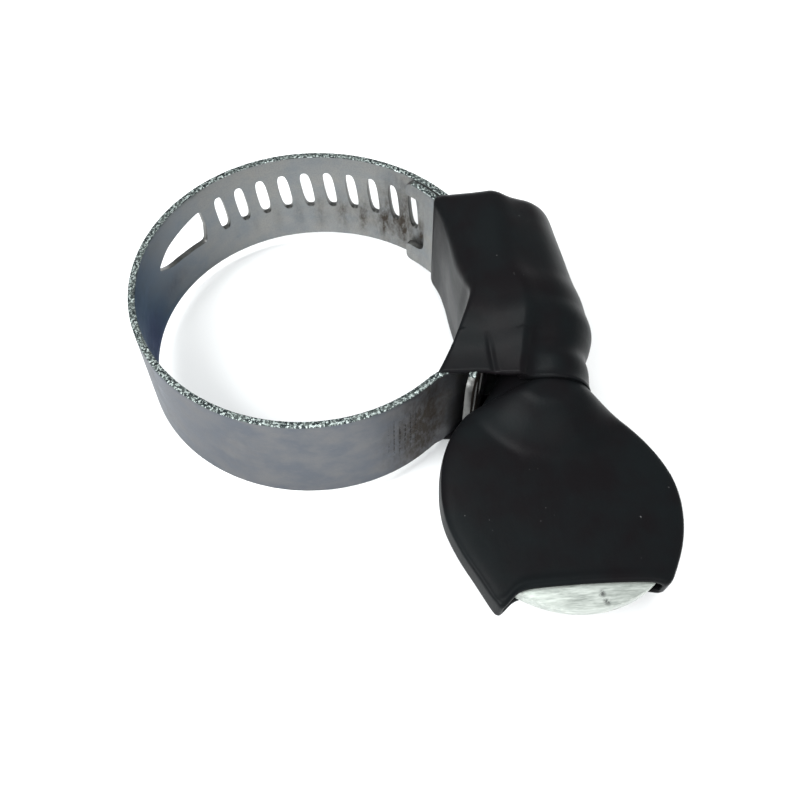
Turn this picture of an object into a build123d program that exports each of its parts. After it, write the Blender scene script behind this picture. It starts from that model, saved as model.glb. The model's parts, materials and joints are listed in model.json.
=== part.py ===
"""Worm-drive hose clamp with a round thumb key and two shrink sleeves, in millimetres.

Frame: the origin is on the hose axis, half way up the band. +Z runs along the hose, the screw
axis is parallel to Y on the +X side, and the thumb key points along -Y.

The band is one flexible strip. Here it is four rigid lengths that bend at three lines, which
stand in for its flexing: the fixed end under the housing, the near length, the far length and
the slotted free end that the screw drives.
"""
from build123d import *
from math import atan, ceil, cos, degrees, floor, pi, radians, sin, sqrt, tan
import os

os.makedirs("parts", exist_ok=True)

# ---- band ----
seat_radius = 17.72          # inside of the band where the hose sits
band_width = 12.7
band_thickness = 0.75
lap_gap = 0.25               # radial gap between the two laps inside the housing
split_gap = 0.04             # gap between two lengths of band at a bending line
near_bend_angle = -52.0      # where the near length bends away from the fixed end
left_bend_angle = 173.1      # where the near and far lengths meet, about the left arc's centre
fixed_tip_angle = 48.6       # how far the forked fixed end reaches past the housing
joggle_angle = -48.5         # where the fixed end starts to step out to clear the sleeve
tail_angle = -24.0           # where the free end leaves the housing and runs straight
tail_near = -15.54           # where the tail's tip ends, along the screw axis
tail_corner = 1.6

# ---- slots and window ----
slot_pitch = 2.79            # along the middle of the band's thickness
slot_end_room = 0.21         # past the screw's thread, at each end of a slot
slot_width = 1.25
slot_height = 1.05           # height of the slot row's centre above the middle of the band
last_slot_angle = 31.2       # how far round the left arc the last slot is
tail_land = 1.8              # least metal between the tail's tip and the slot nearest to it
slots_to_bend = 5.5          # pitches from the last slot to the bending line
window_length = 8.6
window_height = 5.0
window_land = 2.1            # metal between the last slot and the window
window_tip_radius = 0.4
window_corner = 0.7
window_rise = 0.44           # share of the window's height that is above the slot row's centre
window_top_lean = 0.3        # how far the wide end's top corner stands in from the end
window_low_lean = 0.2        # how far its low corner stands out beyond it
window_top_bow = 0.35        # height of the top edge half way along, as a share of the height
window_low_bow = 0.42        # depth of the low edge half way along, as a share of the height

# ---- fork at the fixed end ----
fork_depth = 2.9
fork_gap = 8.0
fork_height = 0.35
fork_corner = 1.3
fork_tip_corner = 0.9

# ---- screw ----
worm_radius = 4.1
thread_depth = 1.1
thread_crest = 0.4
thread_flank = 12.0          # degrees, each side
thread_sink = 0.1            # how far the thread's foot reaches into the root
crest_clearance = 0.15       # thread crest over the fixed end
near_journal_radius = 3.0
far_journal_radius = 2.0
journal_clearance = 0.05
collar_radius = 4.2
collar_length = 1.6
boss_radius = 3.6
boss_length = 3.2
end_play = 0.1

# ---- housing ----
housing_near = -8.2
housing_far = 8.8
housing_wall = 1.0
end_wall = 1.6
side_clearance = 0.12        # band edge to housing wall
worm_clearance = 0.15
rim_radius = 6.3             # the housing's thick near rim
rim_length = 4.7
lug_angle = 11.0             # half the spread of the lugs that hold the housing to the band
lug_clearance = 0.02

# ---- sleeves ----
sleeve_wall = 0.65
sleeve_clearance = 0.05
sleeve_near = -13.2          # the near rim at the hose seat
skirt_near = -15.2           # the near rim on the far side of the screw
sleeve_far = 9.9
skirt_gap = 0.5              # screw collar to the start of the key's sleeve

# ---- thumb key ----
key_radius = 11.65
key_thickness = 1.5
key_stand = 1.9              # from the screw's boss to the disc's edge
key_offset = -0.9            # the disc's centre stands a little off the screw axis
key_tilt = -8.2              # the plate's lean about the screw axis
key_neck = 7.4
key_fit = 0.02               # tongue to screw slot, each side
key_bare = 3.09              # how much of the disc stands out of its sleeve

# ---- worked out from the sizes above ----
fixed_radius = seat_radius + sleeve_wall + sleeve_clearance
free_radius = fixed_radius + band_thickness + lap_gap
free_middle = free_radius + band_thickness / 2
free_outside = free_radius + band_thickness
left_radius = (seat_radius + free_radius) / 2
left_centre = (free_radius - seat_radius) / 2
left_middle = left_radius + band_thickness / 2
half_width = band_width / 2

last_slot = free_middle * pi / 2 + left_middle * radians(last_slot_angle)
tail_start = free_middle * sin(radians(tail_angle))
tail_length = (tail_start - tail_near) / cos(radians(tail_angle))
tail_tip = free_middle * radians(tail_angle) - tail_length
slots_to_tail = floor((last_slot - tail_tip - tail_land) / slot_pitch)
first_slot = last_slot - slots_to_tail * slot_pitch
bend_place = last_slot - slots_to_bend * slot_pitch
far_bend_angle = degrees(bend_place / free_middle)

screw_x = fixed_radius + band_thickness + crest_clearance + worm_radius
screw_z = slot_height
root_radius = worm_radius - thread_depth
slot_lean = degrees(atan(slot_pitch / (2 * pi * worm_radius)))
thread_reach = band_thickness + lap_gap - crest_clearance
thread_chord = 2 * sqrt(thread_reach * (2 * worm_radius - thread_reach))
slot_length = thread_chord + 2 * slot_end_room

channel_half = half_width + side_clearance
housing_half = channel_half + housing_wall
shoulder_x = free_outside + lap_gap
bore_radius = worm_radius + worm_clearance
barrel_radius = bore_radius + housing_wall
collar_near = housing_near - end_play - collar_length
boss_near = collar_near - boss_length
key_centre = boss_near - key_stand - key_radius
key_exposed = key_radius - key_bare
through_band = 4 * band_thickness
hull_reach = 60.0            # longer than any cut needs to be
in_plane = 0.01              # how near an edge is to a plane that it lies in


def on_arc(centre_y, radius, angle):
    """Point at an angle on a circle whose centre is on the Y axis."""
    return (radius * cos(radians(angle)), centre_y + radius * sin(radians(angle)))


def band_plane(centre_y, radius, angle):
    """Plane lying in the band: X along the band, Y up the hose axis, Z outwards."""
    x, y = on_arc(centre_y, radius, angle)
    along = (-sin(radians(angle)), cos(radians(angle)), 0)
    out = (cos(radians(angle)), sin(radians(angle)), 0)
    return Plane(origin=(x, y, 0), x_dir=along, z_dir=out)


def free_band_plane(distance):
    """Plane in the middle of the free band, a distance along it from the +X axis."""
    quarter = free_middle * pi / 2
    if distance > quarter:
        angle = 90 + degrees((distance - quarter) / left_middle)
        return band_plane(left_centre, left_middle, angle)
    straight = distance - free_middle * radians(tail_angle)
    if straight >= 0:
        return band_plane(0, free_middle, degrees(distance / free_middle))
    start = band_plane(0, free_middle, tail_angle)
    return Plane(start.origin + start.x_dir * straight, start.x_dir, start.z_dir)


def cross_plane(y):
    """Plane across the screw axis: X stays X, Y is the hose axis. It extrudes towards the key."""
    return Plane.XZ.offset(-y)


def draw_strip(spans, thickness=band_thickness):
    """Edge-on outline of a strip that follows arcs: (centre y, inside radius, start, end)."""
    for centre_y, radius, start, end in spans:
        CenterArc((0, centre_y), radius, start, end - start)
        CenterArc((0, centre_y), radius + thickness, start, end - start)
    for centre_y, radius, angle in ((*spans[0][:2], spans[0][2]), (*spans[-1][:2], spans[-1][3])):
        Line(on_arc(centre_y, radius, angle), on_arc(centre_y, radius + thickness, angle))


def gap_angle(radius):
    """Half the split gap, as an angle at a radius."""
    return degrees(split_gap / 2 / radius)


def slot_planes(low, high):
    """Planes of the slots between two distances along the free band."""
    places = [last_slot - slot_pitch * count for count in range(slots_to_tail + 1)]
    return [free_band_plane(place) for place in places if low < place < high]


# ---- fixed end of the band: forked tip, lugs for the housing, step down to the near length ----
fixed_start = near_bend_angle + gap_angle(seat_radius)
with BuildPart() as band_fixed_end:
    with BuildSketch(Plane.XY.offset(-half_width)):
        with BuildLine():
            CenterArc((0, 0), fixed_radius, joggle_angle, fixed_tip_angle - joggle_angle)
            CenterArc((0, 0), fixed_radius + band_thickness, joggle_angle,
                      fixed_tip_angle - joggle_angle)
            for level in (0, band_thickness):
                Line(on_arc(0, fixed_radius + level, joggle_angle),
                     on_arc(0, seat_radius + level, fixed_start))
            Line(on_arc(0, seat_radius, fixed_start),
                 on_arc(0, seat_radius + band_thickness, fixed_start))
            Line(on_arc(0, fixed_radius, fixed_tip_angle),
                 on_arc(0, fixed_radius + band_thickness, fixed_tip_angle))
        make_face()
    extrude(amount=band_width)
    with BuildSketch(Plane.XY.offset(-housing_half)):
        with BuildLine():
            draw_strip([(0, fixed_radius, -lug_angle, lug_angle)])
        make_face()
    extrude(amount=2 * housing_half)
    tip_plane = band_plane(0, fixed_radius + band_thickness / 2, fixed_tip_angle)
    with BuildSketch(tip_plane):
        with Locations((0, fork_height)):
            RectangleRounded(2 * fork_depth, fork_gap, fork_corner)
    extrude(amount=through_band, both=True, mode=Mode.SUBTRACT)
    tip_edges = band_fixed_end.edges().filter_by(Axis(tip_plane.origin, tip_plane.z_dir))
    at_tip = tip_edges.filter_by(lambda edge: abs(tip_plane.to_local_coords(edge.center()).X) < in_plane)
    fillet(at_tip, fork_tip_corner)
band_fixed_end.part.label = "band_fixed_end"

# ---- near length: round the near side and the left of the ring ----
with BuildPart() as band_near_length:
    with BuildSketch(Plane.XY.offset(-half_width)):
        with BuildLine():
            draw_strip([(0, seat_radius, near_bend_angle - gap_angle(seat_radius), -90),
                        (left_centre, left_radius, -90,
                         left_bend_angle - 360 + gap_angle(left_radius))])
        make_face()
    extrude(amount=band_width)
band_near_length.part.label = "band_near_length"

# ---- far length: slots and the sail-shaped window ----
window_middle = last_slot + slot_width / 2 + window_land + window_length / 2
with BuildPart() as band_far_length:
    with BuildSketch(Plane.XY.offset(-half_width)):
        with BuildLine():
            draw_strip([(0, free_radius, far_bend_angle + gap_angle(free_radius), 90),
                        (left_centre, left_radius, 90, left_bend_angle - gap_angle(left_radius))])
        make_face()
    extrude(amount=band_width)
    with BuildSketch(*slot_planes(bend_place, last_slot + slot_pitch / 2)):
        with Locations((0, slot_height)):
            SlotOverall(slot_length, slot_width, rotation=90 - slot_lean)
    extrude(amount=through_band, both=True, mode=Mode.SUBTRACT)
    with BuildSketch(free_band_plane(window_middle)) as window:
        with BuildLine():
            wide_end = -window_length / 2
            wide_top = (wide_end + window_top_lean, slot_height + window_height * window_rise)
            wide_low = (wide_end - window_low_lean,
                        slot_height - window_height * (1 - window_rise))
            point = (window_length / 2, slot_height)
            Line(wide_top, wide_low)
            ThreePointArc(wide_low, (0, slot_height - window_height * window_low_bow), point)
            ThreePointArc(point, (0, slot_height + window_height * window_top_bow), wide_top)
        make_face()
        fillet(window.vertices().sort_by(Axis.X)[:2], window_corner)
        fillet(window.vertices().sort_by(Axis.X)[-1], window_tip_radius)
    extrude(amount=through_band, both=True, mode=Mode.SUBTRACT)
band_far_length.part.label = "band_far_length"

# ---- free end: slotted, through the housing, with a straight tail ----
tail_plane = band_plane(0, free_middle, tail_angle)
with BuildPart() as band_free_end:
    with BuildSketch(Plane.XY.offset(-half_width)):
        with BuildLine():
            draw_strip([(0, free_radius, tail_angle, far_bend_angle - gap_angle(free_radius))])
        make_face()
    extrude(amount=band_width)
    with BuildSketch(tail_plane) as tail:
        Rectangle(tail_length, band_width, align=(Align.MAX, Align.CENTER))
        fillet(tail.vertices().sort_by(Axis(tail_plane.origin, tail_plane.x_dir))[:2], tail_corner)
    extrude(amount=band_thickness / 2, both=True)
    with BuildSketch(*slot_planes(first_slot - slot_pitch / 2, bend_place)):
        with Locations((0, slot_height)):
            SlotOverall(slot_length, slot_width, rotation=90 - slot_lean)
    extrude(amount=through_band, both=True, mode=Mode.SUBTRACT)
band_free_end.part.label = "band_free_end"

# ---- housing: barrel over the screw, shoulders over the band, side walls at its edges ----
housing_length = housing_far - housing_near
with BuildPart() as housing:
    with BuildSketch(cross_plane(housing_far)):
        with Locations((screw_x, screw_z)):
            Circle(barrel_radius)
        with Locations((shoulder_x, 0)):
            Rectangle(housing_wall, 2 * housing_half, align=(Align.MIN, Align.CENTER))
        with Locations((0, channel_half), (0, -housing_half)):
            Rectangle(shoulder_x + housing_wall, housing_wall, align=(Align.MIN, Align.MIN))
    extrude(amount=housing_length)
    with BuildSketch(cross_plane(housing_near + rim_length)):
        with Locations((screw_x, screw_z)):
            Circle(rim_radius)
    extrude(amount=rim_length)
    with BuildSketch(cross_plane(housing_far)):
        Rectangle(shoulder_x, 2 * channel_half, align=(Align.MIN, Align.CENTER))
    extrude(amount=housing_length, mode=Mode.SUBTRACT)
    with BuildSketch(Plane.XY.offset(-hull_reach)):
        Circle(fixed_radius)
    extrude(amount=2 * hull_reach, mode=Mode.SUBTRACT)
    with BuildSketch(Plane.XY.offset(-hull_reach)):
        with BuildLine():
            lug_cut_angle = lug_angle + degrees(lug_clearance / fixed_radius)
            draw_strip([(0, fixed_radius - lap_gap, -lug_cut_angle, lug_cut_angle)],
                       lap_gap + band_thickness + lug_clearance)
        make_face()
    extrude(amount=2 * hull_reach, mode=Mode.SUBTRACT)
    with BuildSketch(cross_plane(housing_far - end_wall)):
        with Locations((screw_x, screw_z)):
            Circle(bore_radius)
    extrude(amount=housing_length - 2 * end_wall, mode=Mode.SUBTRACT)
    with BuildSketch(cross_plane(housing_near + end_wall)):
        with Locations((screw_x, screw_z)):
            Circle(near_journal_radius + journal_clearance)
    extrude(amount=end_wall, mode=Mode.SUBTRACT)
    with BuildSketch(cross_plane(housing_far)):
        with Locations((screw_x, screw_z)):
            Circle(far_journal_radius + journal_clearance)
    extrude(amount=end_wall, mode=Mode.SUBTRACT)
housing.part.label = "housing"

# ---- screw: right-hand thread in mesh with the slots, journals, collar and slotted boss ----
core_near = housing_near + end_wall + end_play
core_far = housing_far - end_wall - end_play
root_half = thread_crest / 2 + (thread_depth + thread_sink) * tan(radians(thread_flank))
pitches_in = ceil((core_near + root_half - first_slot) / slot_pitch)
thread_start = first_slot + pitches_in * slot_pitch
thread_length = core_far - root_half - thread_start
screw_plane = Plane(origin=(screw_x, thread_start, screw_z), x_dir=(-1, 0, 0), z_dir=(0, 1, 0))
key_plane = Plane(
    origin=(screw_x, key_centre, screw_z),
    x_dir=(cos(radians(key_tilt)), 0, sin(radians(key_tilt))),
    z_dir=(-sin(radians(key_tilt)), 0, cos(radians(key_tilt))),
)
thread_path = screw_plane * Helix(slot_pitch, thread_length, worm_radius)
thread_section = Plane(origin=thread_path @ 0, x_dir=(-1, 0, 0), z_dir=thread_path % 0)
with BuildPart() as worm_screw:
    for start, end, radius in (
        (core_far, core_near, root_radius),
        (housing_far, core_far, far_journal_radius),
        (core_near, housing_near - end_play, near_journal_radius),
        (housing_near - end_play, collar_near, collar_radius),
        (collar_near, boss_near, boss_radius),
    ):
        with BuildSketch(cross_plane(max(start, end))):
            with Locations((screw_x, screw_z)):
                Circle(radius)
        extrude(amount=abs(start - end))
    with BuildSketch(thread_section):
        Polygon(
            (0, thread_crest / 2),
            (0, -thread_crest / 2),
            (-thread_depth - thread_sink, -root_half),
            (-thread_depth - thread_sink, root_half),
            align=None,
        )
    sweep(path=thread_path, is_frenet=True)
    with BuildSketch(key_plane.offset(-key_thickness / 2 - key_fit)):
        with Locations((0, boss_near - key_centre)):
            Rectangle(hull_reach, 2 * boss_length)
    extrude(amount=key_thickness + 2 * key_fit, mode=Mode.SUBTRACT)
worm_screw.part.label = "worm_screw"

# ---- thumb key: round plate with a tongue that is staked in the screw's slot ----
tongue_end = collar_near - key_fit - key_centre
with BuildPart() as thumb_key:
    with BuildSketch(key_plane.offset(-key_thickness / 2)) as key_face:
        with Locations((key_offset, 0)):
            Circle(key_radius)
        Rectangle(key_neck, tongue_end, align=(Align.CENTER, Align.MIN))
    extrude(amount=key_thickness)
thumb_key.part.label = "thumb_key"

# ---- housing sleeve: shrunk round the housing, its skin flush with the hose seat ----
sleeve_length = sleeve_far - skirt_near
sleeve_hollow = rim_radius + sleeve_clearance
sleeve_half = housing_half + sleeve_clearance
sleeve_top = shoulder_x + housing_wall + sleeve_clearance
sleeve_right = screw_x + sleeve_hollow + sleeve_wall


def draw_sleeve_section(grow):
    """Section across the screw axis: a barrel on a box as wide as the housing."""
    with Locations((screw_x, screw_z)):
        Circle(sleeve_hollow + grow)
    Rectangle(sleeve_top + grow, 2 * (sleeve_half + grow), align=(Align.MIN, Align.CENTER))


with BuildPart() as sleeve_cavity:
    with BuildSketch(cross_plane(sleeve_far)):
        draw_sleeve_section(0)
    extrude(amount=sleeve_length)
    with BuildSketch(Plane.XY.offset(-hull_reach)):
        Circle(fixed_radius - sleeve_clearance)
    extrude(amount=2 * hull_reach, mode=Mode.SUBTRACT)

with BuildPart() as housing_sleeve:
    with BuildSketch(cross_plane(sleeve_far)):
        draw_sleeve_section(sleeve_wall)
    extrude(amount=sleeve_length)
    with BuildSketch(Plane.XY.offset(-hull_reach)):
        with BuildLine():
            Polyline((seat_radius / 2, sleeve_near), (sleeve_right, skirt_near),
                     (sleeve_right, -hull_reach), (seat_radius / 2, -hull_reach), close=True)
        make_face()
    extrude(amount=2 * hull_reach, mode=Mode.SUBTRACT)
    with BuildSketch(Plane.XY.offset(-hull_reach)):
        Circle(seat_radius)
    extrude(amount=2 * hull_reach, mode=Mode.SUBTRACT)
    add(sleeve_cavity.part, mode=Mode.SUBTRACT)
housing_sleeve.part.label = "housing_sleeve"

# ---- key sleeve: flat shell round the plate with a short tube on the boss, open at both ends ----
tube_far = collar_near - skirt_gap
tube_near = boss_near - 2 * sleeve_wall
shell_half = key_thickness / 2 + sleeve_clearance + sleeve_wall
with BuildPart() as key_sleeve:
    with BuildSketch(key_plane.offset(-shell_half)) as shell_face:
        with Locations((key_offset, 0)):
            Circle(key_radius + sleeve_clearance + sleeve_wall)
    extrude(amount=2 * shell_half)
    with BuildSketch(cross_plane(tube_far)):
        with Locations((screw_x, screw_z)):
            Circle(boss_radius + sleeve_clearance + sleeve_wall)
    extrude(amount=tube_far - tube_near)
    with BuildSketch(key_plane.offset(-key_thickness / 2 - sleeve_clearance)):
        with Locations((key_offset, 0)):
            Circle(key_radius + sleeve_clearance)
        Rectangle(key_neck + 2 * sleeve_clearance, hull_reach, align=(Align.CENTER, Align.MIN))
        with Locations((0, -key_exposed)):
            Rectangle(hull_reach, hull_reach, align=(Align.CENTER, Align.MAX))
    extrude(amount=key_thickness + 2 * sleeve_clearance, mode=Mode.SUBTRACT)
    with BuildSketch(cross_plane(tube_far)):
        with Locations((screw_x, screw_z)):
            Circle(boss_radius + sleeve_clearance)
    extrude(amount=tube_far - boss_near + sleeve_clearance, mode=Mode.SUBTRACT)
    with BuildSketch(key_plane.offset(-hull_reach)):
        with Locations((0, -key_exposed)):
            Rectangle(hull_reach, hull_reach, align=(Align.CENTER, Align.MAX))
    extrude(amount=2 * hull_reach, mode=Mode.SUBTRACT)
key_sleeve.part.label = "key_sleeve"

for piece in (
    band_fixed_end, band_near_length, band_far_length, band_free_end, housing,
    worm_screw, thumb_key, housing_sleeve, key_sleeve,
):
    export_step(piece.part, f"parts/{piece.part.label}.step")
print("far bend angle", round(far_bend_angle, 2), "screw x", round(screw_x, 3),
      "free middle", round(free_middle, 3), "slot lean", round(slot_lean, 2))
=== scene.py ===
"""Looks of the worm-drive hose clamp: one zinc-plated strip, two shrink sleeves and a thumb key.

Sizes are in millimetres and become metres when a mesh is made.
"""

import json
import math

import bmesh
import bpy
import numpy as np
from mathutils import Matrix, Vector


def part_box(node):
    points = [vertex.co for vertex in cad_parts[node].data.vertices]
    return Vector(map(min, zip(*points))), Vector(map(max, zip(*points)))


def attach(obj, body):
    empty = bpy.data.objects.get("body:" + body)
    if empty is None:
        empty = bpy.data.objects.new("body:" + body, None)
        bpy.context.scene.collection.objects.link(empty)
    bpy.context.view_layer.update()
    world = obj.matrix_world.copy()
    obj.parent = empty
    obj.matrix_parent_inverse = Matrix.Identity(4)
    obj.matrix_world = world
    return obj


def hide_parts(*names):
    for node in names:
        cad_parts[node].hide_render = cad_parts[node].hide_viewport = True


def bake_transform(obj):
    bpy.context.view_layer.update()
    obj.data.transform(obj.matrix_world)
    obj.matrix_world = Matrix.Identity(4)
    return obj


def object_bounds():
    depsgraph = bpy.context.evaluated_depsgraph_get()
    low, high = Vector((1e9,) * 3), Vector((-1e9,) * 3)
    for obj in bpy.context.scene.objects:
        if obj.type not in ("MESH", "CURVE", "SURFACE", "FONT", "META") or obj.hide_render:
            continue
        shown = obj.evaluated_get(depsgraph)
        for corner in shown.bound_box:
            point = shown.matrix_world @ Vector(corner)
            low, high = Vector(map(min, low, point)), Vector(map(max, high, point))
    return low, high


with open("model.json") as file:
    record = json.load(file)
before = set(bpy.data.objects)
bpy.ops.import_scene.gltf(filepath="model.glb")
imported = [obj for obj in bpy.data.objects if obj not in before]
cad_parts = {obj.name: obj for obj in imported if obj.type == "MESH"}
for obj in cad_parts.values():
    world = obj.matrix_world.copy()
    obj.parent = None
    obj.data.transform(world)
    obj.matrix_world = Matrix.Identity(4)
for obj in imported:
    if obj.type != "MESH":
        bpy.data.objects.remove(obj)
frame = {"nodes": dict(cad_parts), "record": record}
cad_low, cad_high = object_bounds()
MM = 0.001
rng = np.random.default_rng(7)


def box_mm(node):
    """Lowest and highest corner of a CAD node, in millimetres."""
    low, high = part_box(node)
    return np.array(low) / MM, np.array(high) / MM


# ---- places and sizes read from the frame ----
SEAT = frame["record"]["mounts"][0]["dims"]["r_mm"]
near_low, near_high = box_mm("band_near_length")
screw_low, screw_high = box_mm("worm_screw")
HALF_WIDTH = near_high[2]
AXIS_X, AXIS_Z = (screw_low[[0, 2]] + screw_high[[0, 2]]) / 2

# ---- the strip: angles are in degrees, places along it are measured in the middle of its thickness ----
THICK = 0.75
LAP_GAP = 0.25
LEFT_RADIUS = -near_low[0] - THICK
LEFT_CENTRE = LEFT_RADIUS - SEAT
FREE_RADIUS = 2 * LEFT_RADIUS - SEAT
FREE_MIDDLE = FREE_RADIUS + THICK / 2
LEFT_MIDDLE = LEFT_RADIUS + THICK / 2
FIXED_RADIUS = FREE_RADIUS - THICK - LAP_GAP
FIXED_MIDDLE = FIXED_RADIUS + THICK / 2
QUARTER = FREE_MIDDLE * math.pi / 2
TIP_ANGLE = 48.6                         # the forked tip of the fixed end
JOGGLE_START, JOGGLE_END = -42.5, -51.5  # the step out that clears the sleeve
FRONT_END, SIDE_END = -150.0, 125.5      # where one length of mesh stops and the next begins
TAIL_ANGLE, TAIL_LENGTH, TAIL_CORNER = -24.0, 8.2, 1.6
EDGE = 0.07                              # rounding of the edges
ALONG_STEP, ACROSS_STEP = 0.42, 1.0      # size of the mesh's divisions
CUT_NEAR, MERGE_NEAR = 1e-4, 0.002

PITCH, SLOT_LENGTH, SLOT_WIDTH, SLOT_Z = 2.79, 5.42, 1.32, 1.05
SLOT_POWER = 2.9                         # 2 would make the slots ellipses
SLOT_LEAN = math.radians(6.18)
SLOT_COUNT = 21
LAST_SLOT = QUARTER + LEFT_MIDDLE * math.radians(31.2)
STAMP_S, STAMP_Z = FIXED_MIDDLE * math.radians(-63.5), 0.4
STAMP_REACH_S, STAMP_REACH_Z = 1.9, 3.0
REFLECTION_TURN, REFLECTION_REACH = -0.15, 0.95      # where the inside gets a painted dark blue reflection, in radians from the left
EDGE_JITTER, JITTER_REACH = 0.009, 0.1
SHEARED_REACH = 0.05
CORNER_POINTS, SLOT_POINTS = 7, 28


def smooth(t):
    t = np.clip(t, 0, 1)
    return t * t * (3 - 2 * t)


def ramp(value, points):
    """Smooth curve through (place, height) points."""
    x, y = (np.array(column, float) for column in zip(*points))
    slope = np.gradient(y, x)
    i = np.clip(np.searchsorted(x, value) - 1, 0, len(x) - 2)
    span = x[i + 1] - x[i]
    t = np.clip((value - x[i]) / span, 0, 1)
    a, b = 2 * t**3 - 3 * t**2 + 1, t**3 - 2 * t**2 + t
    c, d = -2 * t**3 + 3 * t**2, t**3 - t**2
    return a * y[i] + b * span * slope[i] + c * y[i + 1] + d * span * slope[i + 1]


def front_place(s, z, w):
    """The fixed end and the near length: s is along the strip, w is outwards from its middle."""
    angle = s / FIXED_MIDDLE
    step = smooth((JOGGLE_START - np.degrees(angle)) / (JOGGLE_START - JOGGLE_END))
    radius = FIXED_MIDDLE + (SEAT - FIXED_RADIUS) * step + w
    left = np.degrees(angle) < -90
    radius = np.where(left, LEFT_MIDDLE + w, radius)
    centre = np.where(left, LEFT_CENTRE, 0)
    return np.stack([radius * np.cos(angle), centre + radius * np.sin(angle), z], 1)


def free_place(s, z, w):
    """The far length and the free end, with its straight tail; s is measured from the +X axis."""
    left = s > QUARTER
    angle = np.where(left, math.pi / 2 + (s - QUARTER) / LEFT_MIDDLE, s / FREE_MIDDLE)
    tail = math.radians(TAIL_ANGLE)
    straight = np.minimum(s - FREE_MIDDLE * tail, 0)
    angle = np.maximum(angle, tail)
    radius = np.where(left, LEFT_MIDDLE, FREE_MIDDLE) + w
    x = radius * np.cos(angle) - math.sin(tail) * straight
    y = np.where(left, LEFT_CENTRE, 0) + radius * np.sin(angle) + math.cos(tail) * straight
    return np.stack([x, y, z], 1)


def left_s(angle):
    """Place along the far length of an angle about the left arc's centre."""
    return QUARTER + LEFT_MIDDLE * math.radians(angle - 90)


def arc(x, y, radius, start, end, count):
    angles = np.radians(np.linspace(start, end, count))
    return [(x + radius * math.cos(a), y + radius * math.sin(a)) for a in angles]


def rounded(corners):
    """Outline through (x, y, corner radius) points."""
    points = []
    for i, (x, y, radius) in enumerate(corners):
        here = Vector((x, y))
        if radius == 0:
            points.append(tuple(here))
            continue
        before = (Vector(corners[i - 1][:2]) - here).normalized()
        after = (Vector(corners[(i + 1) % len(corners)][:2]) - here).normalized()
        reach = radius / math.tan(before.angle(after) / 2)
        start, end = here + before * reach, here + after * reach
        for t in np.linspace(0, 1, CORNER_POINTS):
            points.append(tuple(start * (1 - t) ** 2 + here * 2 * t * (1 - t) + end * t**2))
    return points


def slot_outline(s):
    """Punched slot: a long oval with nearly straight sides, leaning as the thread does."""
    points = []
    power = 2 / SLOT_POWER
    for turn in np.linspace(0, 2 * math.pi, SLOT_POINTS, endpoint=False):
        cosine, sine = math.cos(turn), math.sin(turn)
        across = SLOT_WIDTH / 2 * math.copysign(abs(cosine) ** power, cosine)
        up = SLOT_LENGTH / 2 * math.copysign(abs(sine) ** power, sine)
        points.append((s + across + up * math.tan(SLOT_LEAN), SLOT_Z + up))
    return points


def flat_mesh(outline, holes, thickness, edge):
    """A flat plate with rounded-off edges, cut from an outline with holes."""
    curve = bpy.data.curves.new("flat", "CURVE")
    curve.dimensions = "2D"
    curve.fill_mode = "BOTH"
    curve.extrude = thickness / 2 - edge
    curve.bevel_depth = edge
    curve.bevel_resolution = 1
    curve.offset = -edge
    for points in [outline, *holes]:
        spline = curve.splines.new("POLY")
        spline.points.add(len(points) - 1)
        for point, (x, y) in zip(spline.points, points):
            point.co = (x, y, 0, 1)
        spline.use_cyclic_u = True
    holder = bpy.data.objects.new("flat", curve)
    bpy.context.scene.collection.objects.link(holder)
    bpy.context.view_layer.update()
    mesh = bpy.data.meshes.new_from_object(holder.evaluated_get(bpy.context.evaluated_depsgraph_get()))
    bpy.data.objects.remove(holder)
    return mesh


def finish_mesh(name, bm, materials, sharp=40):
    """Object made from a bmesh, smooth but for edges sharper than an angle."""
    mesh = bpy.data.meshes.new(name)
    bm.to_mesh(mesh)
    bm.free()
    mesh.shade_smooth()
    mesh.set_sharp_from_angle(angle=math.radians(sharp))
    for material in materials:
        mesh.materials.append(material)
    obj = bpy.data.objects.new(name, mesh)
    bpy.context.scene.collection.objects.link(obj)
    return obj


def bisect(bm, place, normal, **options):
    geometry = bm.verts[:] + bm.edges[:] + bm.faces[:]
    return bmesh.ops.bisect_plane(bm, geom=geometry, dist=CUT_NEAR, plane_co=place, plane_no=normal,
                                  **options)


def divide(bm, outline, keep):
    """Divide a flat strip along and across, and close it where its length of mesh ends."""
    for s in np.arange(keep[0] + ALONG_STEP, keep[1], ALONG_STEP):
        bisect(bm, (s, 0, 0), (1, 0, 0))
    for level in np.arange(ACROSS_STEP - HALF_WIDTH, HALF_WIDTH - ACROSS_STEP / 2, ACROSS_STEP):
        bisect(bm, (0, level, 0), (0, 1, 0))
    for s, side in ((keep[0], -1), (keep[1], 1)):
        if not min(p[0] for p in outline) < s < max(p[0] for p in outline):
            continue
        cut = bisect(bm, (s, 0, 0), (side, 0, 0), clear_outer=True)
        edges = [e for e in cut["geom_cut"] if isinstance(e, bmesh.types.BMEdge)]
        bmesh.ops.edgeloop_fill(bm, edges=edges)


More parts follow.
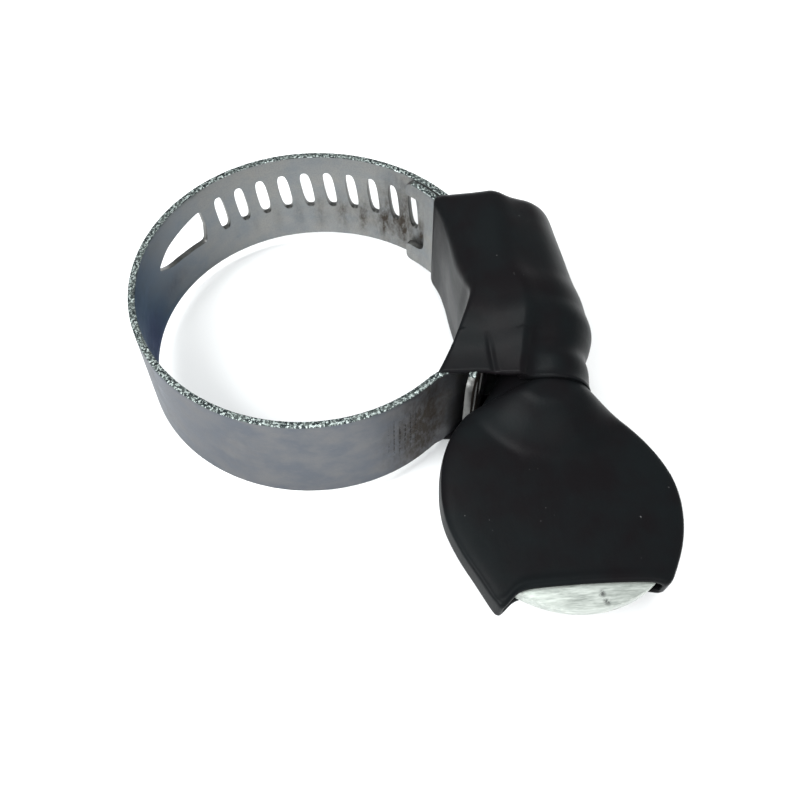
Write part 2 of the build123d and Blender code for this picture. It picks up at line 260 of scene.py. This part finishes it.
def strip_marks(co, placed, stains_and_shade, stamped):
    """For each point: dirt and painted shade, a painted dark blue reflection on the inside, stamped
    strokes, and whether it faces outwards.
    """
    dirt_and_shade = np.zeros(len(co))
    for s, z, reach_s, reach_z, strength in stains_and_shade:
        dirt_and_shade += strength * np.exp(-((co[:, 0] - s) / reach_s) ** 2 - ((co[:, 1] - z) / reach_z) ** 2)
    inside = co[:, 2] < 0
    turn = np.arctan2(placed[:, 1], -placed[:, 0])
    # painted reflection: the inside wall near the left is painted dark blue, stronger low down, in place
    # of the dark surroundings it would reflect
    low_part = 0.75 + 0.25 * smooth((3 - co[:, 1]) / 7)
    painted_blue_reflection = np.where(inside, low_part * np.exp(-((turn - REFLECTION_TURN) / REFLECTION_REACH) ** 2), 0.0)
    along = (co[:, 0] - STAMP_S) / STAMP_REACH_S
    up = (co[:, 1] - STAMP_Z) / STAMP_REACH_Z
    stamp = np.exp(-along ** 4 - up ** 4) * ~inside * stamped
    return {"stain_and_shade": dirt_and_shade, "painted_blue_reflection": painted_blue_reflection, "stamp": stamp, "outer": np.where(inside, 0.0, 1.0)}


def strip(name, outline, holes, place, keep, stains_and_shade, materials, stamped=0.0):
    """A length of the band: cut flat, divided along its length, then rolled to its place."""
    bm = bmesh.new()
    bm.from_mesh(flat_mesh(outline, holes, THICK, EDGE))
    bmesh.ops.remove_doubles(bm, verts=bm.verts, dist=MERGE_NEAR)
    divide(bm, outline, keep)
    bm.normal_update()
    uv = bm.loops.layers.uv.new("strip")
    for face in bm.faces:
        level = np.mean([v.co.y for v in face.verts])
        if abs(level) > HALF_WIDTH - SHEARED_REACH:
            face.material_index = 1
        # painted shade: faces across the strip (walls of the slots, the window and the ends) take the
        # third, darker zinc in place of the shadow inside the holes
        elif abs(face.normal.z) < 0.5:
            face.material_index = 2
        for loop in face.loops:
            loop[uv].uv = (loop.vert.co.x / 10, loop.vert.co.y / 10 + loop.vert.co.z / 10)
    co = np.array([v.co for v in bm.verts])
    at_edge = np.abs(co[:, 1]) > HALF_WIDTH - JITTER_REACH
    jitter = np.where(at_edge, rng.normal(0, EDGE_JITTER, len(co)), 0)
    placed = place(co[:, 0], co[:, 1] + jitter, co[:, 2]) * MM
    for vertex, where in zip(bm.verts, placed):
        vertex.co = where
    for mark, values in strip_marks(co, placed, stains_and_shade, stamped).items():
        layer = bm.verts.layers.float.new(mark)
        for vertex, value in zip(bm.verts, values):
            vertex[layer] = value
    bmesh.ops.recalc_face_normals(bm, faces=bm.faces)
    return finish_mesh(name, bm, materials)


# ---- the thumb key's own plane ----
KEY_TILT = math.radians(-8.2)
KEY_CENTRE = -26.65
KEY_OFFSET = -0.9
KEY_RADIUS = 11.65
KEY_THICK = 1.5
KEY_EDGE = 0.22
TONGUE_HALF, TONGUE_END = 3.6, 16.6
KEY_NICKS = ((0.3, -10.2), (0.6, -11.0))


def key_place(a, b, c):
    """Frame point of a place in the key: a across it, b along the screw axis, c out of its face."""
    x = AXIS_X + a * math.cos(KEY_TILT) - c * math.sin(KEY_TILT)
    z = AXIS_Z + a * math.sin(KEY_TILT) + c * math.cos(KEY_TILT)
    return np.stack([x, KEY_CENTRE + b, z], -1)


# ---- materials ----
class Look:
    """A Principled material and the few nodes that it is made from."""

    def __init__(self, name, **values):
        self.material = bpy.data.materials.new(name)
        self.material.use_nodes = True
        self.nodes = self.material.node_tree.nodes
        self.links = self.material.node_tree.links
        self.shader = self.nodes["Principled BSDF"]
        for socket, value in values.items():
            self.shader.inputs[socket.replace("_", " ")].default_value = value

    def put(self, node_type, inputs=None, **settings):
        node = self.nodes.new(node_type)
        for key, value in settings.items():
            setattr(node, key, value)
        for key, value in (inputs or {}).items():
            if isinstance(value, bpy.types.NodeSocket):
                self.links.new(value, node.inputs[key])
            else:
                node.inputs[key].default_value = value
        return node

    def place(self):
        return self.put("ShaderNodeTexCoord").outputs["Object"]

    def mark(self, name):
        """A value kept at each point of the strip."""
        return self.put("ShaderNodeAttribute", attribute_name=name).outputs["Fac"]

    def noise(self, where, scale, detail=3, rough=0.6, stretch=(1, 1, 1), turn=0.0):
        mapped = self.put("ShaderNodeMapping", {"Vector": where, "Scale": stretch,
                                                "Rotation": (0, 0, turn)})
        node = self.put("ShaderNodeTexNoise", {"Vector": mapped.outputs[0], "Scale": scale,
                                               "Detail": detail, "Roughness": rough})
        return node.outputs["Fac"]

    def fit(self, value, low, high, out_low=0.0, out_high=1.0):
        node = self.put("ShaderNodeMapRange", {"Value": value, "From Min": low, "From Max": high,
                                               "To Min": out_low, "To Max": out_high})
        return node.outputs["Result"]

    def maths(self, operation, a, b=0.0):
        return self.put("ShaderNodeMath", {0: a, 1: b}, operation=operation).outputs[0]

    def mix(self, factor, a, b):
        node = self.put("ShaderNodeMix", data_type="RGBA")
        for index, value in ((0, factor), (6, a), (7, b)):
            if isinstance(value, bpy.types.NodeSocket):
                self.links.new(value, node.inputs[index])
            elif index:
                node.inputs[index].default_value = (*value, 1)
            else:
                node.inputs[index].default_value = value
        return node.outputs[2]

    def colour(self, socket):
        self.links.new(socket, self.shader.inputs["Base Color"])

    def roughness(self, socket):
        self.links.new(socket, self.shader.inputs["Roughness"])

    def bump(self, *layers):
        """Layers of (height, strength, depth in millimetres)."""
        last = None
        for height, strength, depth in layers:
            values = {"Height": height, "Strength": strength, "Distance": depth * MM}
            if last:
                values["Normal"] = last
            last = self.put("ShaderNodeBump", values).outputs[0]
        self.links.new(last, self.shader.inputs["Normal"])


def band_zinc():
    look = Look("band_zinc", Metallic=0.82)
    uv = look.put("ShaderNodeUVMap", uv_map="strip").outputs[0]
    # painted reflection: the mask of the dark blue painted on the inside left wall
    painted_reflection = look.mark("painted_blue_reflection")
    cloud = look.noise(uv, 2.4, 6, 0.66, (1.0, 1.3, 1))
    fine = look.noise(uv, 60, 3, 0.75)
    streak = look.noise(uv, 7, 5, 0.75, (0.5, 2.2, 1))
    base = look.mix(look.fit(cloud, 0.36, 0.66), (0.185, 0.198, 0.206), (0.262, 0.258, 0.243))
    # painted shade: a darker copy of the zinc is painted on the outer faces, so that they come out less
    # bright than the inside faces
    skin = look.mix(look.fit(cloud, 0.40, 0.62), (0.090, 0.098, 0.113), (0.136, 0.136, 0.140))
    base = look.mix(look.mark("outer"), base, skin)
    # painted reflection: on the inside left wall the specular tint and the base colour go dark blue;
    # elsewhere the tint is the zinc's own
    edge_tint = look.mix(painted_reflection, (0.62, 0.63, 0.65), (0.10, 0.19, 0.33))
    look.links.new(edge_tint, look.shader.inputs["Specular Tint"])
    base = look.mix(look.maths("MULTIPLY", painted_reflection, 0.97), base, (0.012, 0.032, 0.058))
    base = look.mix(look.fit(streak, 0.60, 0.82, 0, 0.40), base, (0.20, 0.18, 0.165))
    base = look.mix(look.fit(fine, 0.47, 0.70, 0, 0.50), base, (0.10, 0.11, 0.12))
    patch = look.noise(uv, 11, 5, 0.70, (1.3, 0.6, 1))
    # stains, and painted shade under the sleeve's near rim, on the tail and at the fork tip, all darken
    # the base to this brown-black
    dirt_and_shade = look.maths("MULTIPLY", look.mark("stain_and_shade"), look.fit(patch, 0.36, 0.64, 0.35, 1.15))
    base = look.mix(look.fit(dirt_and_shade, 0.05, 1.0), base, (0.046, 0.037, 0.029))
    rows = look.put("ShaderNodeTexWave", {"Vector": uv, "Scale": 4.6, "Distortion": 1.2,
                                          "Detail Scale": 4.0})
    breaks = look.noise(uv, 10, 1, 0.5, (0.5, 2.4, 1))
    stroke = look.maths("MULTIPLY", look.fit(rows.outputs["Fac"], 0.80, 0.90),
                        look.fit(breaks, 0.44, 0.50))
    stroke = look.maths("MULTIPLY", stroke, look.mark("stamp"))
    base = look.mix(stroke, base, (0.022, 0.019, 0.017))
    look.colour(base)
    look.roughness(look.fit(look.maths("ADD", cloud, look.maths("MULTIPLY", dirt_and_shade, 0.5)),
                            0.35, 1.0, 0.33, 0.62))
    sunk = look.maths("MULTIPLY", stroke, -1.0)
    look.bump((cloud, 0.12, 0.05), (fine, 0.35, 0.02), (sunk, 0.8, 0.12))
    return look.material


def sheared_zinc():
    look = Look("sheared_zinc", Metallic=0.75, Specular_Tint=(0.5, 0.5, 0.5, 1))
    uv = look.put("ShaderNodeUVMap", uv_map="strip").outputs[0]
    grain = look.noise(uv, 33, 2, 0.8)
    coarse = look.noise(uv, 9, 2, 0.6)
    base = look.mix(look.fit(grain, 0.50, 0.58), (0.020, 0.026, 0.027), (0.46, 0.52, 0.50))
    base = look.mix(look.fit(coarse, 0.45, 0.60, 0, 0.45), base, (0.12, 0.14, 0.13))
    look.colour(base)
    look.roughness(look.fit(coarse, 0.3, 0.7, 0.32, 0.60))
    look.bump((grain, 0.9, 0.12))
    return look.material


def plain_zinc(name, tint, scale):
    look = Look(name, Metallic=0.85)
    where = look.place()
    cloud = look.noise(where, 260 * scale, 5, 0.6)
    fine = look.noise(where, 3200, 3, 0.7)
    dark = tuple(c * 0.6 for c in tint)
    base = look.mix(look.fit(cloud, 0.36, 0.66), dark, tint)
    base = look.mix(look.fit(fine, 0.52, 0.75, 0, 0.4), base, tuple(c * 0.4 for c in tint))
    look.colour(base)
    look.roughness(look.fit(cloud, 0.3, 0.7, 0.28, 0.5))
    look.bump((cloud, 0.2, 0.05), (fine, 0.25, 0.02))
    return look.material


def key_zinc():
    look = Look("key_zinc", Metallic=0.45)
    where = look.place()
    lines = look.noise(where, 2300, 3, 0.8, (0.10, 1.5, 1), math.radians(-34))
    cloud = look.noise(where, 300, 4, 0.6)
    base = look.mix(look.fit(lines, 0.35, 0.65), (0.26, 0.285, 0.26), (0.48, 0.51, 0.475))
    base = look.mix(look.fit(cloud, 0.55, 0.75, 0, 0.35), base, (0.36, 0.39, 0.36))
    rough = look.noise(where, 2600, 3, 0.7)
    for a, b in KEY_NICKS:
        nick = Vector(key_place(a, b, KEY_THICK / 2)) * MM
        away = look.put("ShaderNodeVectorMath", {0: where, 1: nick}, operation="DISTANCE")
        near = look.fit(away.outputs["Value"], 0.5 * MM, 0.1 * MM)
        worn = look.maths("MULTIPLY", near, look.fit(rough, 0.42, 0.56))
        base = look.mix(worn, base, (0.08, 0.085, 0.08))
    look.colour(base)
    look.roughness(look.fit(lines, 0.3, 0.7, 0.30, 0.48))
    look.bump((lines, 0.35, 0.04), (cloud, 0.2, 0.05))
    return look.material


def shrink_black(name, warm, cool):
    look = Look(name, Specular_IOR_Level=0.06)
    where = look.place()
    grain = look.noise(where, 5200, 3, 0.75)
    cloud = look.noise(where, 170, 4, 0.55)
    drawn = look.noise(where, 420, 4, 0.6, (1, 0.35, 1))
    base = look.mix(look.fit(cloud, 0.38, 0.62), warm, cool)
    dust = look.noise(where, 1500, 2, 0.5)
    base = look.mix(look.fit(dust, 0.76, 0.80, 0, 0.5), base, (0.16, 0.16, 0.16))
    look.colour(base)
    look.roughness(look.fit(look.maths("ADD", cloud, look.maths("MULTIPLY", grain, 0.4)),
                            0.4, 1.0, 0.30, 0.46))
    look.bump((drawn, 0.30, 0.12), (grain, 0.40, 0.020))
    return look.material


zinc, sheared = band_zinc(), sheared_zinc()
# painted shade: darker zinc for the walls of the slots, window and ends, standing in for the shadow
# inside the punched holes
slot_wall_shade = plain_zinc("slot_wall_shade_zinc", (0.13, 0.13, 0.125), 3.0)
black = shrink_black("shrink_black", (0.0046, 0.0040, 0.0046), (0.0044, 0.0056, 0.0062))

# ---- the strip in three lengths; each bends about the line where the CAD lengths meet ----
SPARE = 2                                # how far an outline goes past its length of mesh
FORK_DEPTH, FORK_Z, FORK_HALF = 2.9, 0.35, 4.0
LOW_PRONG_SHORT = 0.2


def fixed_s(angle):
    """Place along the fixed end of an angle about the ring's centre."""
    return FIXED_MIDDLE * math.radians(angle)


def free_s(angle):
    """Place along the free end of an angle about the ring's centre."""
    return FREE_MIDDLE * math.radians(angle)


tip_s, front_s = fixed_s(TIP_ANGLE), fixed_s(FRONT_END)
low_tip_s, fork_s = tip_s - LOW_PRONG_SHORT, tip_s - FORK_DEPTH
fork_low, fork_high = FORK_Z - FORK_HALF, FORK_Z + FORK_HALF
front_outline = rounded([
    (front_s - SPARE, -HALF_WIDTH, 0), (low_tip_s, -HALF_WIDTH, 0.9), (low_tip_s, fork_low, 0.5),
    (fork_s, fork_low, 1.3), (fork_s, fork_high, 1.3), (tip_s, fork_high, 0.5),
    (tip_s, HALF_WIDTH, 1.1), (front_s - SPARE, HALF_WIDTH, 0),
])
# each dark patch, stains and painted shade alike: place along, height, reach along, reach up, strength
# painted shadow at the fork tip (44°), painted shade with soot under the sleeve's near rim (-53° and
# -62°), and a faint dark patch at -118°
front_stains_and_shade = [
    (fixed_s(44), 0, 3, 8, 0.35), (fixed_s(-53), 0, 3.0, 8, 1.0), (fixed_s(-62), -1, 3.5, 6, 0.55),
    (fixed_s(-118), 0, 6, 6, 0.12),
]
front = strip("band_front", front_outline, [], front_place, (front_s, tip_s), front_stains_and_shade,
              [zinc, sheared, slot_wall_shade], stamped=1.0)

window_s = left_s(129.9)
window = rounded([
    (window_s, 3.45, 0.7), (window_s - 0.35, 0.6, 3.0), (window_s, -1.75, 0.6),
    (window_s + 3.2, -1.35, 4.0), (window_s + 6.2, -0.75, 5.0), (window_s + 8.9, 1.25, 0.5),
    (window_s + 6.4, 2.45, 5.0), (window_s + 3.0, 3.0, 5.0),
])
side_low, side_high = left_s(SIDE_END), left_s(360 + FRONT_END)
side_outline = [(side_low - SPARE, -HALF_WIDTH), (side_high + SPARE, -HALF_WIDTH),
                (side_high + SPARE, HALF_WIDTH), (side_low - SPARE, HALF_WIDTH)]
side_stains = [(left_s(150), -3, 3, 1.5, 0.25), (left_s(200), 1, 6, 5, 0.15)]
side = strip("band_side", side_outline, [window], free_place, (side_low, side_high), side_stains,
             [zinc, sheared, slot_wall_shade])

slots = [slot_outline(LAST_SLOT - PITCH * count) for count in range(SLOT_COUNT)]
tail_s = free_s(TAIL_ANGLE) - TAIL_LENGTH
slotted_outline = rounded([
    (side_low + SPARE, HALF_WIDTH, 0), (tail_s, HALF_WIDTH, TAIL_CORNER),
    (tail_s, -HALF_WIDTH, TAIL_CORNER), (side_low + SPARE, -HALF_WIDTH, 0),
])
# dirt runs down from between the slots, more of it towards the housing
STAINED_SLOTS = 12
slotted_stains_and_shade = [(LAST_SLOT - PITCH * (count + 0.5), SLOT_Z - 3.8, 0.6, 2.4, 0.12 + 0.07 * count)
                  for count in range(STAINED_SLOTS)]
# painted shade on the tail where it runs under the sleeve's near rim (the heaviest patch), a dark patch
# near the fork tip at 52° and a lower one at 66°
slotted_stains_and_shade += [(free_s(52), 0, 3.0, 6, 0.7), (tail_s, 0, 5, 9, 2.2), (free_s(66), -2.5, 7, 4, 0.3)]
slotted = strip("band_slotted", slotted_outline, slots, free_place, (tail_s, side_low), slotted_stains_and_shade,
                [zinc, sheared, slot_wall_shade])


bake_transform(front)
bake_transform(side)
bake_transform(slotted)
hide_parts("band_fixed_end")
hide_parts("band_near_length", "band_far_length")
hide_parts("band_free_end")


# ---- housing sleeve: a skin round a barrel over the screw and a box over the band ----
def soft_union(a, b, reach):
    """Distance from two shapes run together, with a fillet between them."""
    h = np.clip(0.5 + 0.5 * (b - a) / reach, 0, 1)
    return b * (1 - h) + a * h - reach * h * (1 - h)


def round_box(x, z, left, right, top, low, corner):
    """Distance from a rectangle with rounded corners."""
    middle, half = (left + right) / 2, (right - left) / 2
    level, tall = (top + low) / 2, (top - low) / 2
    dx = np.abs(x - middle) - half + corner
    dz = np.abs(z - level) - tall + corner
    outside = np.hypot(np.maximum(dx, 0), np.maximum(dz, 0))
    return outside + np.minimum(np.maximum(dx, dz), 0) - corner


# (place along Y, size) points of the section's parts
BARREL = [(-16, 5.35), (-14.6, 4.9), (-13, 4.65), (-11.3, 4.95), (-9.8, 5.05), (-8.8, 5.75), (-7.8, 6.32),
          (-5.5, 6.36), (-3.9, 6.34), (-1.5, 6.05), (3, 5.78), (6.2, 5.6), (9, 5.4), (11, 4.9)]
BOX_LEFT = [(-16, 11.0), (-14, 11.6), (-13, 12.2), (-11.5, 13.1), (-9.4, 14.35), (-7.4, 15.35),
            (-6, 16.0), (-4.2, 16.6), (-2, 16.3), (1.3, 15.9), (4.8, 15.75), (7.5, 15.45), (9.2, 15.0),
            (11, 14.2)]
BOX_RIGHT = [(-16, 20.3), (-13, 20.4), (-9, 21.6), (-6, 22.3), (0, 22.7), (9, 22.7), (11, 22.4)]
BOX_TOP = [(-16, 6.5), (-13, 6.55), (-11, 6.8), (-8.8, 7.5), (-7, 7.8), (0, 7.95), (8.4, 7.85), (11, 7.6)]
BOX_CORNER = [(-16, 0.45), (-6, 0.6), (-4, 0.9), (-1, 2.2), (6, 2.2), (9, 1.5), (11, 1.2)]
UNION_REACH = 3.0
CREASE_X, CREASE_DEPTH, CREASE_HALF, CREASE_Y = 17.6, 0.14, 0.3, -9.0
SLEEVE_WALL = 0.6
SLEEVE_FAR, SLEEVE_NEAR = 10.9, -13.45
END_ROUND, MOUTH_TURN = 1.9, -40         # the far end's rounding, and how far it turns into the mouth
SLEEVE_POINTS, BAG_POINTS = 320, 360     # round each ring of the two skins
SLEEVE_LIP = ((0.16, 0.1), (0.2, 0.3), (0.12, 0.5))  # (reach past the near rim, how far inside the skin)

# the near rim leans and waves
RIM_START, RIM_REACH = -5.0, 8.0
RIM_LEAN, RIM_CORNER_X = 0.11, 12
RIM_WAVES = ((0.16, 3, 0.6), (0.07, 7, 0.0))

# where a section is looked for, from a line inside the sleeve
CORE_X, NEAR_CORE_X, NEAR_CORE_Y, CORE_Z = 20.0, 19.2, -9, 0.8
FIRST_REACH, LEAST_REACH = 20.0, 0.5
FIND_STEPS, FIND_PACE = 60, 0.8


def sleeve_field(x, z, y, grow=0.0):
    """Distance from the sleeve's skin in a section across the screw axis."""
    barrel = np.hypot(x - AXIS_X, z - AXIS_Z) - ramp(y, BARREL)
    top = ramp(y, BOX_TOP)
    box = round_box(x, z, ramp(y, BOX_LEFT), ramp(y, BOX_RIGHT), top, -top, ramp(y, BOX_CORNER))
    crease = CREASE_DEPTH * np.exp(-((x - CREASE_X) / CREASE_HALF) ** 2) * (z > 0)
    return soft_union(barrel, box, UNION_REACH) + crease * smooth((CREASE_Y - y) / 2) - grow


def sleeve_section(y, angles, grow):
    """Places of the skin in one section, found at each angle about a line inside the sleeve."""
    core_x = CORE_X if y > NEAR_CORE_Y else NEAR_CORE_X
    reach = np.full(angles.shape, FIRST_REACH)
    for _ in range(FIND_STEPS):
        x, z = core_x + reach * np.cos(angles), CORE_Z + reach * np.sin(angles)
        away = sleeve_field(x, z, np.full(angles.shape, y), grow)
        reach = np.maximum(reach - FIND_PACE * away, LEAST_REACH)
    return core_x + reach * np.cos(angles), CORE_Z + reach * np.sin(angles)


def sleeve_rows():
    """(y, growth) of the skin's rows: out of the far mouth, over the outside, back up the inside."""
    rows = []
    for turn in np.radians(np.linspace(MOUTH_TURN, 90, 12)):
        rows.append((SLEEVE_FAR - END_ROUND * (1 - math.cos(turn)), -END_ROUND * (1 - math.sin(turn))))
    rows += [(y, 0.0) for y in np.linspace(SLEEVE_FAR - END_ROUND - 0.2, SLEEVE_NEAR, 120)]
    rows += [(SLEEVE_NEAR - past, -inside) for past, inside in SLEEVE_LIP]
    rows += [(y, -SLEEVE_WALL) for y in np.linspace(SLEEVE_NEAR, SLEEVE_FAR - END_ROUND, 40)]
    rows.append((SLEEVE_FAR - END_ROUND, -END_ROUND * 1.1))
    return rows


def grid_mesh(name, rows, materials, sharp=55):
    """Closed surface through rings of points, the last ring joined to the first."""
    bm = bmesh.new()
    rings = [[bm.verts.new(point * MM) for point in row] for row in rows]
    for ring, following in zip(rings, rings[1:] + rings[:1]):
        for i in range(len(ring)):
            j = (i + 1) % len(ring)
            bm.faces.new((ring[i], ring[j], following[j], following[i]))
    bmesh.ops.recalc_face_normals(bm, faces=bm.faces)
    return finish_mesh(name, bm, materials, sharp)


def housing_sleeve():
    angles = np.linspace(0, 2 * math.pi, SLEEVE_POINTS, endpoint=False)
    rows = []
    for y, grow in sleeve_rows():
        x, z = sleeve_section(y, angles, grow)
        shear = smooth((RIM_START - y) / RIM_REACH)
        wave = sum(height * np.sin(count * angles + phase) for height, count, phase in RIM_WAVES)
        place = y + shear * (-RIM_LEAN * (x - RIM_CORNER_X) + wave)
        rows.append(np.stack([x, place, z], 1))
    return grid_mesh("housing_sleeve_skin", rows, [black])


skin = housing_sleeve()
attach(skin, "clamp_body")
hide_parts("housing_sleeve")

# ---- thumb key and its sleeve, in the key's own plane ----
def thumb_key():
    side_angle = math.degrees(math.acos(TONGUE_HALF / KEY_RADIUS))
    outline = arc(KEY_OFFSET, 0, KEY_RADIUS, 180 - side_angle, 360 + side_angle, 110)
    outline += [(TONGUE_HALF, TONGUE_END), (-TONGUE_HALF, TONGUE_END)]
    bm = bmesh.new()
    bm.from_mesh(flat_mesh(outline, [], KEY_THICK, KEY_EDGE))
    bmesh.ops.remove_doubles(bm, verts=bm.verts, dist=MERGE_NEAR)
    co = np.array([v.co for v in bm.verts])
    for vertex, where in zip(bm.verts, key_place(co[:, 0], co[:, 1], co[:, 2]) * MM):
        vertex.co = where
    bmesh.ops.recalc_face_normals(bm, faces=bm.faces)
    return finish_mesh("thumb_plate", bm, [key_zinc()])


plate = thumb_key()
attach(plate, "screw")
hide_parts("thumb_key")

# (place along the key, place across it) points of its sleeve's outline
BAG_LEFT = [(-9.8, -9.3), (-8.8, -9.95), (-7.7, -10.7), (-5.8, -11.85), (-4, -12.6), (-2.2, -13.1),
            (0, -13.25), (1.9, -13.05), (4, -12.6), (7, -11.4), (9, -10.0), (10.4, -8.5), (11.2, -6.6),
            (12, -5.0), (13, -4.5), (16.2, -4.35)]
BAG_RIGHT = [(-9.8, 6.3), (-8.9, 7.45), (-8.1, 8.1), (-6.4, 9.2), (-4.6, 10.05), (-2.9, 10.6),
             (-0.8, 10.95), (1.4, 10.85), (3.4, 10.3), (5.5, 9.35), (7.5, 8.1), (9.2, 6.8), (10.4, 5.8),
             (11.2, 5.1), (12, 4.65), (13, 4.45), (16.2, 4.35)]
# (place along the key, squareness of the section), 2 for an ellipse
BAG_POWER = [(-10, 7), (3, 7), (7, 5), (10, 3), (12, 2), (17, 2)]
BAG_WALL = 0.6
BAG_FLAT = KEY_THICK / 2 + 0.62
BAG_NEAR, BAG_MOUTH, BAG_FAR = -9.2, 10.5, 16.15
BAG_LIP = ((0.18, 0.1), (0.22, 0.32), (0.12, 0.5))   # (reach past the near rim, how far inside the skin)
NECK_PLACE, NECK_SQUASH, NECK_RADIUS, NECK_SLOPE, NECK_RISE = (-0.6, 13.2), 0.9, 3.4, 5.6, 2.75
SWELL, SWELL_ACROSS, SWELL_ALONG, SWELL_PLACE = 0.10, 5.2, 5.5, -1
ROLL, ROLL_PLACE, ROLL_REACH = 0.16, 0.35, 0.45      # the thick lip, from the near rim
RIM_BOW, BOW_MIDDLE, BOW_HALF, RIM_SHIFT = 0.35, -1.2, 8.6, 0.1
DRAWN_START, DRAWN_REACH = 2.0, 11.0                 # where the rows begin to follow the rim's shape
EARS = ((-9.6, 1.5, 1.45), (7.2, 1.2, 0.35))         # (place, width, how far it hangs)


def bag_half(a, b):
    """Half the bag's thickness: flat over the plate, rising in a cone to the neck."""
    away = np.hypot(a - NECK_PLACE[0], NECK_SQUASH * (b - NECK_PLACE[1]))
    neck = smooth(1 - (away - NECK_RADIUS) / NECK_SLOPE) * NECK_RISE
    swell = SWELL * np.cos(a / SWELL_ACROSS) * np.cos((b - SWELL_PLACE) / SWELL_ALONG)
    return BAG_FLAT + swell * (1 - smooth((b - 4) / 5)) + neck


def bag_rows(angles):
    """Rings of the bag's skin: down the outside to the near rim, round its lip and back up the inside."""
    rows = []
    along = [(b, 0.0) for b in np.linspace(BAG_FAR, BAG_NEAR, 130)]
    lip = [(BAG_NEAR - past, inside) for past, inside in BAG_LIP]
    back = [(b, BAG_WALL) for b in np.linspace(BAG_NEAR, BAG_MOUTH, 50)] + [(BAG_FAR, BAG_WALL)]
    for b, sink in along + lip + back:
        row_b = np.full(angles.shape, b)
        left, right = ramp(row_b, BAG_LEFT) + sink, ramp(row_b, BAG_RIGHT) - sink
        power = ramp(row_b, BAG_POWER)
        cosine, sine = np.cos(angles), np.sin(angles)
        a = (left + right) / 2 + (right - left) / 2 * np.sign(cosine) * np.abs(cosine) ** (2 / power)
        edge = np.abs(sine) ** (2 / power)
        roll = ROLL * np.exp(-((b - BAG_NEAR - ROLL_PLACE) / ROLL_REACH) ** 2)
        c = np.sign(sine) * edge * (bag_half(a, row_b) - sink + roll * (sink == 0))
        middle = (a - BOW_MIDDLE) / BOW_HALF
        drawn = smooth((DRAWN_START - b) / DRAWN_REACH)
        ears = sum(hang * np.exp(-((a - place) / width) ** 2) for place, width, hang in EARS)
        bow = RIM_SHIFT - RIM_BOW * middle**2 - ears
        rows.append(key_place(a, row_b + drawn * bow, c))
    return rows


bag_angles = np.linspace(0, 2 * math.pi, BAG_POINTS, endpoint=False)
bag = grid_mesh("key_sleeve_skin", bag_rows(bag_angles), [black])
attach(bag, "screw")
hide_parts("key_sleeve")

# ---- carried-over CAD nodes ----
for node, material in (("housing", plain_zinc("housing_zinc", (0.40, 0.42, 0.43), 1.0)),
                       ("worm_screw", plain_zinc("screw_zinc", (0.42, 0.42, 0.40), 1.3))):
    mesh = frame["nodes"][node].data
    mesh.materials.clear()
    mesh.materials.append(material)

# ---- floor, light and camera ----
FLOOR_Z, FLOOR_HALF = cad_low[2], 1.5


def floor():
    look = Look("pale_floor", Roughness=0.6)
    where = look.place()
    cloud = look.noise(where, 14, 3, 0.5)
    look.colour(look.mix(look.fit(cloud, 0.3, 0.7), (0.90, 0.90, 0.90), (0.93, 0.93, 0.93)))
    bm = bmesh.new()
    bmesh.ops.create_grid(bm, x_segments=8, y_segments=8, size=FLOOR_HALF)
    for vertex in bm.verts:
        vertex.co.z = FLOOR_Z
    return finish_mesh("floor", bm, [look.material])


floor()


def area_light(name, place, target, size, power, colour=(1, 1, 1)):
    light = bpy.data.lights.new(name, "AREA")
    light.size = size
    light.energy = power
    light.color = colour
    holder = bpy.data.objects.new(name, light)
    holder.location = place
    holder.rotation_euler = (Vector(target) - Vector(place)).to_track_quat("-Z", "Y").to_euler()
    bpy.context.scene.collection.objects.link(holder)


CENTRE = (0.008, -0.01, 0)
area_light("key_light", (-0.25, -0.17, 0.30), CENTRE, 0.30, 2.9, (0.96, 0.99, 1.0))
area_light("top_light", (0.03, 0.05, 0.38), CENTRE, 0.16, 0.9, (0.97, 1.0, 1.0))
area_light("fill_light", (0.12, -0.32, 0.28), CENTRE, 0.30, 0.6, (1.0, 0.98, 0.96))
world = bpy.data.worlds.new("studio")
world.use_nodes = True
world.node_tree.nodes["Background"].inputs[0].default_value = (0.96, 0.98, 1.0, 1)
world.node_tree.nodes["Background"].inputs[1].default_value = 0.48
bpy.context.scene.world = world
bpy.context.scene.view_settings.view_transform = "Standard"

CAMERA_DOWN, CAMERA_TURN = 56.21, -7.3
camera_data = bpy.data.cameras.new("camera")
camera_data.lens = 43.62
camera_data.sensor_width = 36
camera_data.clip_start = 0.001
camera = bpy.data.objects.new("camera", camera_data)
camera.location = (0.000963, -0.068993, 0.085719)
camera.rotation_euler = (math.radians(90 - CAMERA_DOWN), 0, math.radians(CAMERA_TURN))
bpy.context.scene.collection.objects.link(camera)
bpy.context.scene.camera = camera
